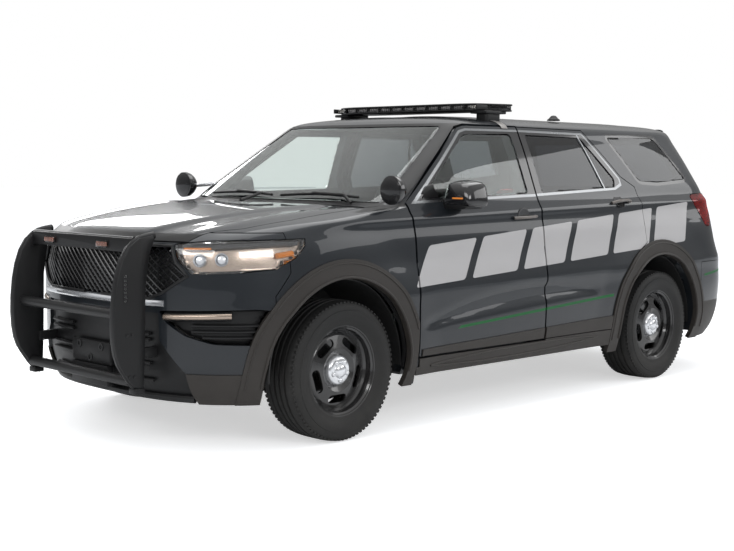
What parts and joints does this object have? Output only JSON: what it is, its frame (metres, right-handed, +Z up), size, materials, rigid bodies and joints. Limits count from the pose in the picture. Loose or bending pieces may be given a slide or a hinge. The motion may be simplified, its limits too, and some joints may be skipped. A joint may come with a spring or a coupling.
{
  "type": "police patrol car",
  "caption": "Sport utility patrol car with opening doors, bonnet and tailgate, steered road wheels, push guard, roof light bar and pillar spotlights",
  "frame": {"origin": "on the ground under the middle of the overall length, on the centre plane", "axes": "+X the car's left side, -Y the nose, +Z up"},
  "size_m": [2.264, 5.24, 1.835],
  "materials": {
    "paint": "gloss dark grey metallic under clear coat",
    "cladding": "satin, fine grain",
    "black_metal": "satin black powder coat",
    "black_plastic": "gloss black",
    "clear_glass": "clear",
    "dark_glass": "privacy tint",
    "lamp_lens": "clear lens",
    "red_lens": "gloss red",
    "wheel_paint": "gloss black",
    "tyre": "matt rubber",
    "iron": "rough",
    "rubber": "matt",
    "cloth": "woven",
    "bar_lens": "smoked lens"
  },
  "bodies": {
    "body": {"floor_pan": "black_metal", "bulkhead": "black_metal", "body_sides": "paint", "roof_panel": "paint", "front_fenders": "paint", "front_bumper": "paint", "rear_bumper": "paint", "grille": "black_plastic", "front_lamps": "lamp_lens", "tail_lamps": "red_lens", "windscreen": "clear_glass", "quarter_glass": "dark_glass", "arch_trims": "cladding", "arch_liners": "rubber", "engine_block": "iron", "front_frame": "black_metal", "front_suspension": "iron", "rear_suspension": "iron", "exhaust": "iron", "fuel_tank": "rubber", "dashboard": "black_plastic", "steering_wheel": "black_plastic", "front_seats": "cloth", "rear_seat": "cloth", "push_guard": "black_metal", "light_bar": "bar_lens", "spot_lamps": "black_metal"},
    "front_door_left": {"front_door_left": "paint", "front_glass_left": "clear_glass", "mirror_left": "black_plastic"},
    "rear_door_left": {"rear_door_left": "paint", "rear_glass_left": "dark_glass"},
    "steering_left": {"front_knuckle_left": "iron"},
    "front_wheel_left": {"front_wheel_left": "wheel_paint", "front_tyre_left": "tyre"},
    "rear_wheel_left": {"rear_wheel_left": "wheel_paint", "rear_tyre_left": "tyre"},
    "front_door_right": {"front_door_right": "paint", "front_glass_right": "clear_glass", "mirror_right": "black_plastic"},
    "rear_door_right": {"rear_door_right": "paint", "rear_glass_right": "dark_glass"},
    "steering_right": {"front_knuckle_right": "iron"},
    "front_wheel_right": {"front_wheel_right": "wheel_paint", "front_tyre_right": "tyre"},
    "rear_wheel_right": {"rear_wheel_right": "wheel_paint", "rear_tyre_right": "tyre"},
    "hood": {"hood": "paint"},
    "liftgate": {"liftgate": "paint", "liftgate_glass": "dark_glass"}
  },
  "joints": [
    {"name": "hood_hinge", "type": "hinge", "parent": "body", "child": "hood", "pos_m": [0, -1.205, 1.206], "axis": [-1, 0, 0], "range_deg": [0, 45]},
    {"name": "front_door_left_hinge", "type": "hinge", "parent": "body", "child": "front_door_left", "pos_m": [0.981, -0.95, 0.7], "axis": [0, 0, -1], "range_deg": [0, 65]},
    {"name": "rear_door_left_hinge", "type": "hinge", "parent": "body", "child": "rear_door_left", "pos_m": [0.981, 0.208, 0.7], "axis": [0, 0, -1], "range_deg": [0, 60]},
    {"name": "front_door_right_hinge", "type": "hinge", "parent": "body", "child": "front_door_right", "pos_m": [-0.981, -0.95, 0.7], "axis": [0, 0, 1], "range_deg": [0, 65]},
    {"name": "rear_door_right_hinge", "type": "hinge", "parent": "body", "child": "rear_door_right", "pos_m": [-0.981, 0.208, 0.7], "axis": [0, 0, 1], "range_deg": [0, 60]},
    {"name": "liftgate_hinge", "type": "hinge", "parent": "body", "child": "liftgate", "pos_m": [0, 2.03, 1.752], "axis": [1, 0, 0], "range_deg": [0, 80]},
    {"name": "steering_left_hinge", "type": "hinge", "parent": "body", "child": "steering_left", "pos_m": [0.79, -1.5125, 0.372], "axis": [0, 0, 1], "range_deg": [-32, 32]},
    {"name": "front_wheel_left_spin", "type": "hinge", "parent": "steering_left", "child": "front_wheel_left", "pos_m": [0.851, -1.5125, 0.372], "axis": [1, 0, 0], "continuous": true},
    {"name": "rear_wheel_left_spin", "type": "hinge", "parent": "body", "child": "rear_wheel_left", "pos_m": [0.851, 1.5125, 0.372], "axis": [1, 0, 0], "continuous": true},
    {"name": "steering_right_hinge", "type": "hinge", "parent": "body", "child": "steering_right", "pos_m": [-0.79, -1.5125, 0.372], "axis": [0, 0, 1], "range_deg": [-32, 32]},
    {"name": "front_wheel_right_spin", "type": "hinge", "parent": "steering_right", "child": "front_wheel_right", "pos_m": [-0.851, -1.5125, 0.372], "axis": [1, 0, 0], "continuous": true},
    {"name": "rear_wheel_right_spin", "type": "hinge", "parent": "body", "child": "rear_wheel_right", "pos_m": [-0.851, 1.5125, 0.372], "axis": [1, 0, 0], "continuous": true}
  ],
  "couplings": [
    {"joint": "steering_right_hinge", "follows": "steering_left_hinge", "ratio": 1}
  ]
}
